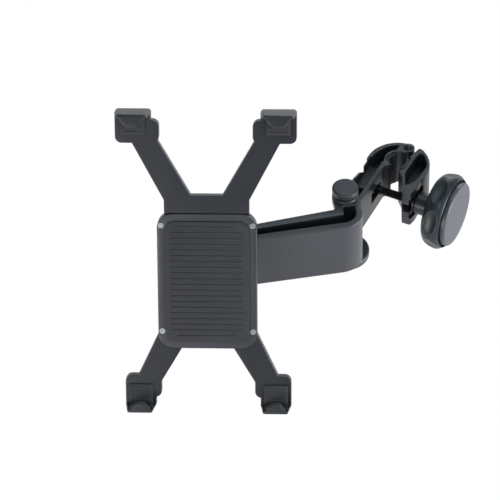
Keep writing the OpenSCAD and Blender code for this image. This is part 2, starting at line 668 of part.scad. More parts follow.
module rear_housing() {
  color(slate) in_holder() difference() {
    union() {
      at_depth(back_depth, cover_depth - back_depth) housing_outline();
      at_depth(leg_depth, front_depth - leg_depth) difference() {
        lower_legs();
        offset(0.1) housing_outline();
      }
      at_depth(leg_depth, cover_depth - leg_depth) lower_legs();
      both_sides() translate([claw_gap_low / 2, 0, 0]) mirror([0, 0, 1]) {
        claw(-grip_low, claw_w - 3, lip_h - 0.6);
        leg_head(claw_w - 3, 14, -grip_low);
      }
      rotate([90, 0, 0]) {
        translate([0, 0, -3]) cylinder(r = socket_r, h = back_depth + 3 + 0.5);
        translate([0, 0, 7]) cylinder(r1 = 17, r2 = 21, h = back_depth - 7 + 0.5);
      }
    }
    // Track for the yoke, open at the top
    translate([-track_w / 2, -cover_depth - over, -housing_low + 7])
      cube([track_w, cover_depth + over - back_depth - shell_t, housing_low + housing_top]);
    sphere(socket_in);
    rotate([-90, 0, 0]) cylinder(r = socket_in, h = 20);
    for (i = [0:2]) rotate([0, i * 60 + 30, 0]) translate([-20, -3, -0.6]) cube([40, 10, 1.2]);
    both_sides() for (z = [-housing_low + 12, housing_top - 8])
      translate([housing_w / 2 - 2.6, -back_depth - 1.5, z]) rotate([90, 0, 0]) cylinder(r = 0.95, h = 20);
  }
  // Posts that hold the lower ends of the springs
  color(slate) in_holder() both_sides() translate([spring_x, 0, spring_low - 3.4]) rotate([90, 0, 0])
    translate([0, 0, back_depth + shell_t - 0.01]) cylinder(r = 1.6, h = yoke_t);
}
module slide_yoke() {
  top = housing_top + 0.6;
  color(slate) in_holder() {
    difference() {
      union() {
        at_depth(yoke_depth, yoke_t)
          translate([-track_w / 2 + face_gap, yoke_low]) square([track_w - 2 * face_gap, top + 6 - yoke_low]);
        at_depth(leg_depth, front_depth - leg_depth) {
          both_sides() strip([track_w / 2 - 10, top + leg_w / 2 + 1], [claw_gap_top / 2 - 4, grip_top - 12], leg_w + 2, leg_w);
          translate([-track_w / 2 + face_gap, top]) square([track_w - 2 * face_gap, leg_w * 0.8]);
        }
        both_sides() translate([claw_gap_top / 2, 0, 0]) {
          claw(grip_top, claw_w, lip_h);
          leg_head(claw_w, 17, grip_top);
        }
      }
      both_sides() translate([spring_x - 2.4, -30, -30]) cube([4.8, 30, spring_high + 30]);
    }
    both_sides() translate([spring_x - 2.4, -yoke_depth - yoke_t, spring_high + 0.6]) cube([4.8, yoke_t, 1]);
  }
}
module return_springs() {
  color(steel) in_holder() both_sides()
    translate([spring_x, -yoke_depth - yoke_t / 2, spring_low - 1.6]) tube(spring_od / 2, spring_od / 2 - 0.5, spring_high - spring_low + 1.6 - 0.3);
}
module front_cover() {
  color(slate) in_holder() difference() {
    at_depth(cover_depth, shell_t) housing_outline();
    both_sides() for (z = [-housing_low + 12, housing_top - 8]) translate([housing_w / 2 - 2.6, 0, z]) rotate([90, 0, 0]) {
      cylinder(r = 1.1, h = 40);
      translate([0, 0, front_depth - 1.1]) cylinder(r = 2.05, h = 5);
    }
  }
}
module cover_screws() {
  color(steel) in_holder() both_sides() for (z = [-housing_low + 12, housing_top - 8])
    translate([housing_w / 2 - 2.6, 0, z]) rotate([90, 0, 0]) {
      translate([0, 0, front_depth - 6]) cylinder(r = 0.9, h = 5);
      translate([0, 0, front_depth - 1.1]) cylinder(r = 1.95, h = 1);
    }
}
module back_pad() {
  color(rubber) in_holder() at_depth(front_depth, back_pad_t)
    rounded_rect(-housing_w / 2 + 5, -housing_low + 5, housing_w / 2 - 5, housing_top - 5, 7);
}
module lower_claw_pads() {
  color(rubber) in_holder() both_sides() translate([claw_gap_low / 2, 0, 0]) claw_pad(grip_low, -1);
}
module upper_claw_pads() {
  color(rubber) in_holder() both_sides() translate([claw_gap_top / 2, 0, 0]) claw_pad(grip_top, 1);
}

fixed_jaw();
fixed_grip_pad();
moving_jaw();
moving_grip_pad();
jaw_hinge_pin();
hinge_pin_clip();
eye_pin();
swing_screw();
thrust_washer();
knob_insert();
clamp_knob();
knob_cap();
arm();
pivot_bolt();
pivot_washer();
pivot_cap();
knuckle_washers();
locking_knob();
locking_nut();
ball_stud();
stud_screw();
ball_seat();
grip_ring();
locking_ring();
rear_housing();
slide_yoke();
return_springs();
front_cover();
cover_screws();
back_pad();
lower_claw_pads();
upper_claw_pads();
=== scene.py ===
# %% [markdown]
# # A sprung four-claw holder on a swinging arm and a screw clamp
# The object has three parts: a clamp with two hollow jaws, a channel-shaped arm, and a sprung holder on a
# ball joint. Nearly all of it is moulded plastic, so this script is mostly about soft moulded edges and
# satin surfaces. The rigid solids come from the CAD frame. The script rounds their edges, cuts the thread,
# winds the springs, shapes the rubber and gives every surface its finish.

# %% Load the frame
import json
import math

import bmesh
import bpy
from mathutils import Matrix, Vector


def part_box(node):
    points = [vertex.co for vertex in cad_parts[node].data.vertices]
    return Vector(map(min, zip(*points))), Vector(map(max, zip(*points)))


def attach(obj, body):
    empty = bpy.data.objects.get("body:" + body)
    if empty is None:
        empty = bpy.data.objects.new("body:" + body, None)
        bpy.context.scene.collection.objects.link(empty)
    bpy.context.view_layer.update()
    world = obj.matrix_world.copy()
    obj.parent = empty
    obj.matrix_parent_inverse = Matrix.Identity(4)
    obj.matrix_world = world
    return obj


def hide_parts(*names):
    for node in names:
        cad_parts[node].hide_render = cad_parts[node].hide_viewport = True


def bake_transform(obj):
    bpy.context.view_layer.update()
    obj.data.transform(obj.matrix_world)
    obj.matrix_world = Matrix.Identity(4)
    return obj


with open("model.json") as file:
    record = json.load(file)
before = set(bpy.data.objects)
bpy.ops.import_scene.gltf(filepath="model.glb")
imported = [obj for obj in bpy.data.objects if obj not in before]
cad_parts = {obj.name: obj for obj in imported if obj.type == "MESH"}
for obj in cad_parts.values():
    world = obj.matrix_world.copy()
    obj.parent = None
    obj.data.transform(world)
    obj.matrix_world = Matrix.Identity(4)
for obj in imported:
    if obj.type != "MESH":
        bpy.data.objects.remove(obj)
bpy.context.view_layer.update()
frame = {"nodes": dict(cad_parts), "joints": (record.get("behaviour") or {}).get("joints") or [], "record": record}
nodes = frame["nodes"]
joints = {joint["name"]: joint for joint in frame["joints"]}
MM = 0.001

# %% [markdown]
# ## Where things are
# The clamp, the arm and the holder each lean or turn in their own way. Every joint in the frame states a
# place and an axis, so two small frames of reference, one for the clamp and one for the holder, are read
# from them and no position is guessed.

# %% Frames of reference
def axes(origin, x, y, z):
    """A matrix whose columns are three axes, at an origin."""
    turn = Matrix((x, y, z)).transposed().to_4x4()
    return Matrix.Translation(origin) @ turn


up = Vector((0, 0, 1))
screw_out = Vector(joints["knob_travel"]["axis"])
clamp_frame = axes(Vector((0, 0, 0)), screw_out, up.cross(screw_out), up)
ball = Vector(joints["ball_tilt"]["pos_m"])
holder_right = Vector(joints["ball_tilt"]["axis"])
holder_front = Vector(joints["holder_turn"]["axis"])
holder_up = Vector(joints["yoke_slide"]["axis"])
holder_frame = axes(ball, holder_right, -holder_front, holder_up)
eye = clamp_frame.inverted() @ Vector(joints["screw_swing"]["pos_m"])
print("ball at", [round(value, 4) for value in ball])


def local_box(node, place):
    """The lowest and highest corners of a node, measured along a frame's own axes."""
    back = place.inverted()
    points = [back @ vertex.co for vertex in nodes[node].data.vertices]
    return [Vector([end(point[axis] for point in points) for axis in range(3)]) for end in (min, max)]


# %% [markdown]
# ## Camera
# The photograph looks down on the object at about 45 degrees from some way off, with a long lens and a
# slight roll. The angles, the lens and the distance were worked out from the upright edges, the round caps
# and the outlines of the four claws, which lie far enough apart to show how strong the perspective is.

# %% Camera
camera_data = bpy.data.cameras.new("camera")
camera_data.lens = 191.7
camera_data.sensor_width = 36
camera_data.clip_end = 20
camera = bpy.data.objects.new("camera", camera_data)
bpy.context.scene.collection.objects.link(camera)
look_down = math.radians(45.58)
look_right = math.radians(1.76)
roll = math.radians(-2.15)
stand = Matrix.Translation((-0.14581, -1.33200, 1.29354))
turn = Matrix.Rotation(-look_right, 4, "Z")
tip = Matrix.Rotation(math.radians(90) - look_down, 4, "X")
camera.matrix_world = stand @ turn @ tip @ Matrix.Rotation(roll, 4, "Z")
bpy.context.scene.camera = camera
print("camera", [round(value, 3) for value in camera.matrix_world.translation])

# %% [markdown]
# ## Writing materials as sums
# A material is a graph of nodes, and long graphs are hard to read when every link is typed out. The small
# class below wraps a socket so that `1 - mask` or `cloud * 0.3` adds the Math node by itself, and one
# method makes every other kind of node.

# %% Node helpers
class Wire:
    """The output of a node, which takes part in sums."""

    def __init__(self, sheet, socket):
        self.sheet = sheet
        self.socket = socket

    def sum(self, operation, first, second):
        return self.sheet.node("ShaderNodeMath", {"operation": operation}, [first, second])

    def __add__(self, other):
        return self.sum("ADD", self, other)

    def __sub__(self, other):
        return self.sum("SUBTRACT", self, other)

    def __rsub__(self, other):
        return self.sum("SUBTRACT", other, self)

    def __mul__(self, other):
        return self.sum("MULTIPLY", self, other)

    def __pow__(self, other):
        return self.sum("POWER", self, other)

    __radd__ = __add__
    __rmul__ = __mul__


class Sheet:
    """One material and its node graph."""

    def __init__(self, name):
        self.material = bpy.data.materials.new(name)
        self.material.use_nodes = True
        self.tree = self.material.node_tree
        self.shader = self.tree.nodes["Principled BSDF"]

    def node(self, kind, settings=None, inputs=None, out=0):
        made = self.tree.nodes.new(kind)
        for key, value in (settings or {}).items():
            if key == "stops":
                ramp = made.color_ramp
                while len(ramp.elements) < len(value):
                    ramp.elements.new(0.5)
                for element, (place, colour) in zip(ramp.elements, value):
                    element.position = place
                    element.color = colour
            else:
                setattr(made, key, value)
        pairs = inputs.items() if isinstance(inputs, dict) else enumerate(inputs or [])
        for key, value in pairs:
            self.feed(made.inputs[key], value)
        return Wire(self, made.outputs[out])

    def feed(self, socket, value):
        if isinstance(value, Wire):
            self.tree.links.new(value.socket, socket)
        else:
            socket.default_value = value

    def set(self, **values):
        for key, value in values.items():
            self.feed(self.shader.inputs[key.replace("_", " ")], value)
        return self

    def point(self):
        return self.node("ShaderNodeTexCoord", out="Object")

    def noise(self, scale, detail=2.0, point=None, rough=0.5):
        return self.node("ShaderNodeTexNoise", None,
            {"Vector": point or self.point(), "Scale": scale, "Detail": detail, "Roughness": rough})

    def blend(self, factor, first, second):
        return self.node("ShaderNodeMix", {"data_type": "RGBA"}, {0: factor, 6: first, 7: second}, out=2)

    def clamp(self, value, low=0.0, high=1.0):
        return self.node("ShaderNodeClamp", None, {"Value": value, "Min": low, "Max": high})


def rgba(red, green, blue):
    return (red, green, blue, 1.0)


# %% [markdown]
# ## Moulded plastic
# The jaws, arm, knob and holder are glass-filled plastic with a fine eroded skin. Close up it has a grain
# of about a third of a millimetre, faint clouds where the melt flowed, and edges that handling has
# polished. A Bevel node finds the edges: where its rounded normal leaves the true one, the skin is a little
# smoother, and its paler colour there is a painted highlight. Ambient Occlusion finds the deep pockets,
# which are painted nearly black as painted shade. The knob is darker than the arm and the jaws, so it has a
# skin of its own. The legs and the claws get a darker copy of the arm's skin, which is painted shade.

# %% Moulded plastic
edge_round = 0.7 * MM
shade_reach = 9 * MM
# The nearly black colour painted into deep pockets is painted shade.
painted_pocket_shade = rgba(0.006, 0.006, 0.007)


def moulding(name, colour, roughness, edge_highlight_strength=0.5, grain=2600, grain_depth=0.012, shine=0.5):
    """A moulded skin: faint clouds, a fine grain, a painted highlight on the edges and painted shade in the
    pockets.
    """
    sheet = Sheet(name)
    point = sheet.point()
    cloud = sheet.noise(38, 4, point)
    skin = sheet.noise(grain, 3, point, 0.6)
    rounded = sheet.node("ShaderNodeBevel", {"samples": 6}, {"Radius": edge_round})
    true_normal = sheet.node("ShaderNodeNewGeometry", out="Normal")
    agree = sheet.node("ShaderNodeVectorMath", {"operation": "DOT_PRODUCT"}, [rounded, true_normal],
        out="Value")
    edge = sheet.clamp((1 - agree) * 5.0)
    # The paler colour on the edges is a painted highlight; the lower roughness there is the polish of handling.
    pale = rgba(*[channel * 2.3 + 0.03 for channel in colour])
    deep = rgba(*[channel * 0.86 for channel in colour])
    body = sheet.blend(cloud, deep, rgba(*[channel * 1.12 for channel in colour]))
    # Ambient Occlusion paints shade into the base colour of the pockets.
    painted_shade_mask = sheet.node("ShaderNodeAmbientOcclusion", {"samples": 8}, {"Distance": shade_reach}, out="AO")
    shaded = sheet.blend(painted_shade_mask ** 1.1, painted_pocket_shade, body)
    sheet.set(Base_Color=sheet.blend(edge * edge_highlight_strength, shaded, pale))
    sheet.set(Roughness=sheet.clamp(roughness + (cloud - 0.5) * 0.14 - edge * 0.06, 0.12, 0.9))
    sheet.set(Normal=sheet.node("ShaderNodeBump", None,
        {"Strength": 0.35, "Distance": grain_depth * MM, "Height": skin, "Normal": rounded}))
    sheet.set(Specular_IOR_Level=shine)
    return sheet.material


slate = moulding("slate_moulding", (0.035, 0.035, 0.042), 0.36, 0.7)
# A darker copy of the arm's plastic for the holder, which is painted shade.
shaded_slate_copy = moulding("slate_moulding_painted_shade", (0.015, 0.016, 0.021), 0.38, 0.9, shine=0.4)
dark = moulding("dark_moulding", (0.011, 0.016, 0.020), 0.37, 0.55, 3200, 0.006, shine=0.4)
cap_grey = moulding("cap_moulding", (0.051, 0.054, 0.067), 0.40, 0.5, 2400, 0.010)
print("mouldings", [material.name for material in (slate, shaded_slate_copy, dark, cap_grey)])

# %% [markdown]
# ## Rubber, steel, brass and nylon
# The pads are dense black rubber with a dusty bloom. The pins and screws are plated steel with fine
# turning lines round their axis, the clamp screw is blackened, the knob's insert is brass, and the
# parts that rub are natural nylon, which is waxy and slightly see-through.

# %% Other finishes
def rubber_finish(name):
    sheet = Sheet(name)
    point = sheet.point()
    bloom = sheet.noise(90, 5, point)
    pores = sheet.noise(3600, 2, point)
    sheet.set(Base_Color=sheet.blend(bloom, rgba(0.010, 0.010, 0.011), rgba(0.026, 0.026, 0.027)))
    sheet.set(Roughness=sheet.clamp(0.66 + (bloom - 0.5) * 0.2, 0.4, 0.95))
    sheet.set(Normal=sheet.node("ShaderNodeBump", None,
        {"Strength": 0.5, "Distance": 0.02 * MM, "Height": pores}))
    return sheet.material


def metal_finish(name, colour, roughness, metallic=1.0, line_scale=5200):
    sheet = Sheet(name)
    point = sheet.point()
    stretch = sheet.node("ShaderNodeVectorMath", {"operation": "MULTIPLY"}, [point, (0.04, 0.04, 1.0)])
    lines = sheet.noise(line_scale, 2, stretch)
    stain = sheet.noise(120, 4, point)
    low = rgba(*[channel * 0.78 for channel in colour])
    sheet.set(Base_Color=sheet.blend(stain, low, rgba(*colour)), Metallic=metallic)
    sheet.set(Roughness=sheet.clamp(roughness + (lines - 0.5) * 0.22, 0.08, 0.8))
    sheet.set(Normal=sheet.node("ShaderNodeBump", None,
        {"Strength": 0.25, "Distance": 0.004 * MM, "Height": lines}))
    return sheet.material


def nylon_finish(name):
    sheet = Sheet(name)
    cloud = sheet.noise(70, 3)
    sheet.set(Base_Color=sheet.blend(cloud, rgba(0.50, 0.48, 0.41), rgba(0.62, 0.60, 0.53)))
    sheet.set(Roughness=sheet.clamp(0.42 + (cloud - 0.5) * 0.15, 0.2, 0.8))
    return sheet.material


rubber = rubber_finish("black_rubber")
steel = metal_finish("bright_steel", (0.60, 0.61, 0.62), 0.28)
black_steel = metal_finish("black_steel", (0.020, 0.020, 0.022), 0.34, 0.6)
brass = metal_finish("brass", (0.66, 0.47, 0.20), 0.30)
nylon = nylon_finish("nylon")
finishes = {"slate_moulding": slate, "dark_moulding": dark, "cap_moulding": cap_grey, "black_rubber": rubber,
    "black_steel": black_steel, "bright_steel": steel, "brass": brass, "nylon": nylon}
slot_of = {entry["node"]: entry["material_slot"] for entry in frame["record"]["subparts"]}
finish_of = {name: finishes[slot] for name, slot in slot_of.items()}
# The housing and the yoke share the arm's plastic; their darker copy is painted shade.
finish_of["rear_housing"] = finish_of["slide_yoke"] = shaded_slate_copy
for name, node in nodes.items():
    node.data.materials.clear()
    node.data.materials.append(finish_of[name])
print("finishes", sorted(finishes))


# %% [markdown]
# ## New pieces
# Every new piece goes through one helper, which makes the object, gives it the finish of its slot, lets
# it ride on its body and hides the solid it stands for.

# %% Piece helper
body_of_node = {node: body for body, names in frame["record"]["behaviour"]["bodies"].items() for node in names}


def piece(name, mesh, node, smooth=35):
    """An object for a mesh in the row frame, which stands for one CAD node."""
    made = bpy.data.objects.new(name, mesh)
    bpy.context.scene.collection.objects.link(made)
    mesh.materials.clear()
    mesh.materials.append(finish_of[node])
    mesh.polygons.foreach_set("use_smooth", [True] * len(mesh.polygons))
    mesh.set_sharp_from_angle(angle=math.radians(smooth))
    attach(made, body_of_node[node])
    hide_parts(node)
    return made


# %% [markdown]
# ## Rounded edges on the mouldings
# A mould never has a perfectly sharp edge, and the thin bright line along each rim of the real object
# comes from a small round. Each solid's mesh is copied and its sharp edges are bevelled. The bevel alone
# would make the flat faces look swollen, because smooth shading averages the normals at each corner. A
# Weighted Normal modifier lets the large flat faces win, so only the narrow rounds look curved.

# %% Round the edges
def softened(node, width, segments=2, sharp=28, weld=0.005):
    """A copy of a node's mesh with its sharp edges rounded by a width in millimetres."""
    form = bmesh.new()
    form.from_mesh(nodes[node].data)
    bmesh.ops.remove_doubles(form, verts=form.verts, dist=weld * MM)
    chosen = [edge for edge in form.edges if len(edge.link_faces) == 2
        and edge.calc_face_angle(0) > math.radians(sharp)]
    bmesh.ops.bevel(form, geom=chosen, offset=width * MM, offset_type="OFFSET", segments=segments, profile=0.5,
        affect="EDGES", clamp_overlap=False, harden_normals=False, miter_outer="SHARP")
    lowest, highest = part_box(node)
    for vertex in form.verts:
        vertex.co = [min(max(value, low), high) for value, low, high in zip(vertex.co, lowest, highest)]
    mesh = bpy.data.meshes.new(node + "_soft")
    form.to_mesh(mesh)
    form.free()
    return mesh


def flatten_shading(made):
    """Let large faces set the normals, so that flat walls look flat beside their rounded edges."""
    weighted = made.modifiers.new("flat walls", "WEIGHTED_NORMAL")
    weighted.mode = "FACE_AREA_WITH_ANGLE"
    weighted.weight = 80
    weighted.keep_sharp = True


shading_split = 50
round_widths = {"fixed_jaw": 0.35, "moving_jaw": 0.35, "clamp_knob": 0.35, "knob_cap": 0.35, "arm": 0.6,
    "pivot_cap": 0.2, "locking_knob": 0.3, "rear_housing": 0.35, "slide_yoke": 0.35, "front_cover": 0.35,
    "locking_ring": 0.25}
for node, width in round_widths.items():
    soft = piece(node + "_moulding", softened(node, width), node, smooth=shading_split)
    flatten_shading(soft)
    print(node, "faces", len(soft.data.polygons))

# %% [markdown]
# ## Shapes made of loops
# A thread, a spring, a ribbed pad and a rubber liner look very different, but each is a row of closed
# loops with faces between neighbours and a cap on each end. One helper joins loops, and a second puts any
# number of such forms into one mesh, placed by one of the frames of reference above.

# %% Loops to meshes
def lofted(loops, ring=False):
    """Points and faces through equal loops, capped at the ends or closed into a ring."""
    around = len(loops[0])
    points = [point for loop in loops for point in loop]
    faces = []
    rows = len(loops)
    for row in range(rows if ring else rows - 1):
        below, above = row * around, (row + 1) % rows * around
        for turn in range(around):
            after = (turn + 1) % around
            faces.append((below + turn, below + after, above + after, above + turn))
    if not ring:
        faces.append(tuple(reversed(range(around))))
        faces.append(tuple(range((rows - 1) * around, rows * around)))
    return points, faces


def mesh_of(name, forms, place):
    """One mesh from several forms in millimetres, set in a frame of reference."""
    points, faces = [], []
    for form_points, form_faces in forms:
        start = len(points)
        points += [place @ (Vector(point) * MM) for point in form_points]
        faces += [tuple(corner + start for corner in face) for face in form_faces]
    mesh = bpy.data.meshes.new(name)
    mesh.from_pydata(points, [], faces)
    form = bmesh.new()
    form.from_mesh(mesh)
    bmesh.ops.recalc_face_normals(form, faces=form.faces)
    form.to_mesh(mesh)
    form.free()
    return mesh


def circle_points(radius, count, first=0.0):
    turns = [first + math.tau * turn / count for turn in range(count)]
    return [(radius * math.cos(turn), radius * math.sin(turn)) for turn in turns]


# %% [markdown]
# ## The swing screw
# The clamp is drawn shut by a six-millimetre eye bolt. Its thread is a rod whose radius rises and falls
# along its length, and the wave is shifted by a full pitch once round, which makes it a true helix.
# A picture of a thread in a bump map would vanish at the rod's outline, so it is real geometry.

# %% Threaded rod and eye
pitch = 1.0
thread_outer, thread_root = 2.98, 2.42
eye_outer, eye_hole, eye_half = 4.78, 2.06, 4.0


def thread_height(phase):
    """How high the thread stands at a part of one turn, from 0 in the root to 1 on the crest."""
    return min(1.0, max(0.0, (1 - abs(2 * phase - 1) - 0.12) / 0.72))


def threaded_rod(first, last, plain, around=36, steps=8):
    """A rod from one place to another, threaded beyond its plain shank and chamfered at its tip."""
    rows = int((last - first) / pitch * steps)
    loops = []
    for row in range(rows + 1):
        along = first + (last - first) * row / rows
        cut = min(1.0, max(0.0, (along - plain) / 1.2))
        chamfer = max(0.0, 0.9 - (last - along)) * 0.8
        loop = []
        for turn in range(around):
            angle = math.tau * turn / around
            rise = thread_height((along / pitch - turn / around) % 1)
            radius = thread_outer - (thread_outer - thread_root) * (1 - rise) * cut
            radius = min(radius, thread_outer - chamfer)
            loop.append((along, eye_y + radius * math.cos(angle), radius * math.sin(angle)))
        loops.append(loop)
    return lofted(loops)


def turned_ring(profile, centre, around=48):
    """A closed section turned once round an upright axis."""
    loops = []
    for turn in range(around):
        angle = math.tau * turn / around
        loops.append([(centre[0] + radius * math.cos(angle), centre[1] + radius * math.sin(angle), height)
            for radius, height in profile])
    return lofted(loops, ring=True)


eye_x, eye_y = eye.x / MM, eye.y / MM
screw_low, screw_high = local_box("swing_screw", clamp_frame)
screw_tip = screw_high.x / MM
rod = threaded_rod(eye_x + 3.4, screw_tip, plain=-3.0)
ring_profile = [(eye_hole, -eye_half + 0.3), (eye_hole + 0.3, -eye_half), (eye_outer - 0.6, -eye_half),
    (eye_outer, -eye_half + 0.6), (eye_outer, eye_half - 0.6), (eye_outer - 0.6, eye_half),
    (eye_hole + 0.3, eye_half), (eye_hole, eye_half - 0.3)]
screw_mesh = mesh_of("screw", [rod, turned_ring(ring_profile, (eye_x, eye_y))], clamp_frame)
piece("threaded_screw", screw_mesh, "swing_screw", smooth=40)
print("screw from", round(eye_x, 2), "to", round(screw_tip, 2), "mm, faces", len(screw_mesh.polygons))

# %% [markdown]
# ## The springs that draw the holder shut
# Two thin extension springs sit beside the slider. One end of each is held by the housing and the other
# by the yoke, so when the yoke is pulled out the coils have to open.

# %% Coil springs
wire_radius = 0.26
coil_count = 27
coil_steps = 16


def coil(centre_x, centre_y, radius, low, high):
    """A helix of round wire whose first and last turns lie closed."""
    loops = []
    total = coil_count * coil_steps
    dead = 1.5 / coil_count
    for step in range(total + 1):
        share = step / total
        angle = math.tau * share * coil_count
        eased = min(1.0, max(0.0, (share - dead) / (1 - 2 * dead)))
        closed = (min(share, dead) + max(0.0, share - 1 + dead)) / dead * 3 * wire_radius
        height = low + wire_radius + closed + eased * (high - low - 8 * wire_radius)
        out = Vector((math.cos(angle), math.sin(angle), 0))
        middle = Vector((centre_x, centre_y, height)) + out * radius
        loops.append([middle + out * across + Vector((0, 0, along))
            for across, along in circle_points(wire_radius, 8)])
    return lofted(loops)


spring_low, spring_high = local_box("return_springs", holder_frame)
spring_y = (spring_low.y + spring_high.y) / 2 / MM
coil_radius = (spring_high.y - spring_low.y) / 2 / MM - wire_radius - 0.02
spring_x = spring_high.x / MM - coil_radius - wire_radius
spring_ends = (spring_low.z / MM, spring_high.z / MM)
spring_forms = [coil(side * spring_x, spring_y, coil_radius, *spring_ends) for side in (-1, 1)]
spring_mesh = mesh_of("springs", spring_forms, holder_frame)
springs = bpy.data.objects.new("coil_springs", spring_mesh)
bpy.context.scene.collection.objects.link(springs)
spring_mesh.materials.append(finish_of["return_springs"])
spring_mesh.polygons.foreach_set("use_smooth", [True] * len(spring_mesh.polygons))
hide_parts("return_springs")
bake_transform(springs)
print("springs", [round(value, 2) for value in (spring_x, spring_y, coil_radius)])

# %% [markdown]
# ## Rubber that grips the bar
# Both jaws are lined with rubber. The fixed jaw holds a curved liner, and the moving jaw a block with a
# hollow face. Moulded ribs run round the hollow so that the rubber can give a little and grip harder.

# %% Grip pads
rib_pitch = 2.0
rib_depth = 0.4


def rib(height):
    """0 on a rib's crest and 1 in the groove beside it."""
    wave = 0.5 - 0.5 * math.cos(math.tau * height / rib_pitch)
    return wave ** 1.6


def grip_rows(low, high, steps=8):
    count = round((high - low) / rib_pitch * steps)
    return [low + (high - low) * row / count for row in range(count + 1)]


def end_inset(height, low, high, size=0.35):
    """How far the outline draws in at a height, to round the two ends."""
    reach = min(height - low, high - height)
    return 0.0 if reach >= size else size - math.sqrt(size * size - (size - reach) ** 2)


liner_low, liner_high = local_box("fixed_grip_pad", clamp_frame)
liner_low, liner_high = liner_low / MM, liner_high / MM
liner_thickness = 2.0
skin_gap = 0.01
liner_out = -liner_low.x
bar_radius = liner_out - liner_thickness
liner_from, liner_to = math.radians(123), math.radians(247)
liner_steps = 28
loops = []
for height in grip_rows(liner_low.z, liner_high.z):
    inset = end_inset(height, liner_low.z, liner_high.z)
    inner = bar_radius + 2 * skin_gap + inset + rib_depth * rib(height - liner_low.z)
    outer = liner_out - skin_gap - inset
    turns = [liner_from + (liner_to - liner_from) * step / liner_steps for step in range(liner_steps + 1)]
    loop = [(inner * math.cos(turn), inner * math.sin(turn), height) for turn in turns]
    loop += [(outer * math.cos(turn), outer * math.sin(turn), height) for turn in reversed(turns)]
    loops.append(loop)
piece("ribbed_liner", mesh_of("liner", [lofted(loops)], clamp_frame), "fixed_grip_pad", smooth=50)

block_low, block_high = local_box("moving_grip_pad", clamp_frame)
block_low, block_high = block_low / MM, block_high / MM
block_back = block_high.x - skin_gap
hollow_steps = 20
loops = []
for height in grip_rows(block_low.z, block_high.z):
    inset = end_inset(height, block_low.z, block_high.z)
    inner = bar_radius + 2 * skin_gap + rib_depth * rib(height - block_low.z)
    front = block_low.x + inset
    reach = math.acos(min(1.0, front / inner))
    turns = [-reach + 2 * reach * step / hollow_steps for step in range(hollow_steps + 1)]
    lowest, highest = block_low.y + inset, block_high.y - inset
    corner = [(block_back, lowest), (front + 0.4, lowest), (front, lowest + 0.4)]
    notch = [(front, lowest + 0.9), (front + 0.5, lowest + 1.2), (front, lowest + 1.6)]
    hollow = [(inner * math.cos(turn), inner * math.sin(turn)) for turn in turns]
    far_corner = [(front, highest - 0.25), (front + 0.25, highest), (block_back, highest)]
    loops.append([(x, y, height) for x, y in corner + notch + hollow + far_corner])
piece("ribbed_block", mesh_of("block", [lofted(loops)], clamp_frame), "moving_grip_pad", smooth=50)
print("grip pads", round(bar_radius, 2), round(liner_out, 2))

# %% [markdown]
# ## Rubber that holds the slab
# The back pad is a thin sheet with a raised border and rows of low ribs, which leave air behind what it
# holds. Each claw has a pad folded into its corner: one leaf lies on the leg and the other under the edge.
# Ribs are half-round bars, so their crests can catch the light one by one.

# %% Ribs and sheets
def half_bar(first, last, side, lift, width, height, steps=5):
    """A half-round bar between two points, with rounded ends."""
    first, last, side, lift = (Vector(value) for value in (first, last, side, lift))
    along = (last - first).normalized()
    loops = []
    for reach, size in ((0.0, 0.35), (0.25, 0.75), (0.6, 1.0)):
        loops.append((first + along * reach * width, size))
    for reach, size in ((0.6, 1.0), (0.25, 0.75), (0.0, 0.35)):
        loops.append((last - along * reach * width, size))
    rows = []
    for centre, size in loops:
        row = []
        for step in range(steps + 1):
            angle = math.pi * step / steps
            across = side * math.cos(angle) * width / 2 * size
            row.append(centre + across + lift * math.sin(angle) * height * size)
        rows.append(row)
    return lofted(rows)


def rounded_outline(x0, y0, x1, y1, radius, steps=6):
    """The outline of a rectangle with four round corners."""
    corners = [(x1 - radius, y1 - radius, 0), (x0 + radius, y1 - radius, 90),
        (x0 + radius, y0 + radius, 180), (x1 - radius, y0 + radius, 270)]
    outline = []
    for x, y, start in corners:
        for step in range(steps + 1):
            angle = math.radians(start + 90 * step / steps)
            outline.append((x + radius * math.cos(angle), y + radius * math.sin(angle)))
    return outline


def sheet_form(x0, z0, x1, z1, radius, base, face, edge=0.35):
    """A flat sheet in the holder's frame with a rounded front edge. It faces forward, towards -y."""
    loops = []
    for inset, depth in ((0, base), (0, face + edge), (edge * 0.3, face + edge * 0.3), (edge, face)):
        outline = rounded_outline(x0 + inset, z0 + inset, x1 - inset, z1 - inset, radius - inset * 0.9)
        loops.append([(x, depth, z) for x, z in outline])
    return lofted(loops)


# %% [markdown]
# ## The ribbed back pad
# The pad fills the front of the holder. Its ribs could be painted on with a bump map, but a bump vanishes
# when it is seen from the side, so each rib is a bar laid on the sheet. The first and the last are shorter,
# to keep clear of the round corners.

# %% Back pad
pad_low, pad_high = (corner / MM for corner in local_box("back_pad", holder_frame))
pad_base, pad_face = pad_high.y, pad_low.y
pad_corner = 7
pad_border = 3.5
pad_rib_gap = 4.0
pad_rib_width, pad_rib_height = 1.7, 0.53
forms = [sheet_form(pad_low.x, pad_low.z, pad_high.x, pad_high.z, pad_corner, pad_base, pad_face + 0.5)]
last_rib = int((pad_high.z - pad_low.z - 2 * pad_border) / pad_rib_gap)
first_height = (pad_low.z + pad_high.z - last_rib * pad_rib_gap) / 2
for index in range(last_rib + 1):
    height = first_height + index * pad_rib_gap
    end = pad_high.x - pad_border - (4.0 if index in (0, last_rib) else 0.0)
    left, right = (-end, pad_face + 0.55, height), (end, pad_face + 0.55, height)
    forms.append(half_bar(left, right, (0, 0, 1), (0, -1, 0), pad_rib_width, pad_rib_height))
piece("ribbed_back_pad", mesh_of("back_pad", forms, holder_frame), "back_pad", smooth=40)
print("back pad ribs", last_rib + 1)

# %% [markdown]
# ## The pads in the claws
# All four claws have the same folded pad, so one loop makes them. `outward` turns the upper form over for
# the lower claws, and `side` mirrors it from right to left. The ribs of one leaf run across, and those of
# the other run front to back, which is how the two leaves would leave the mould.

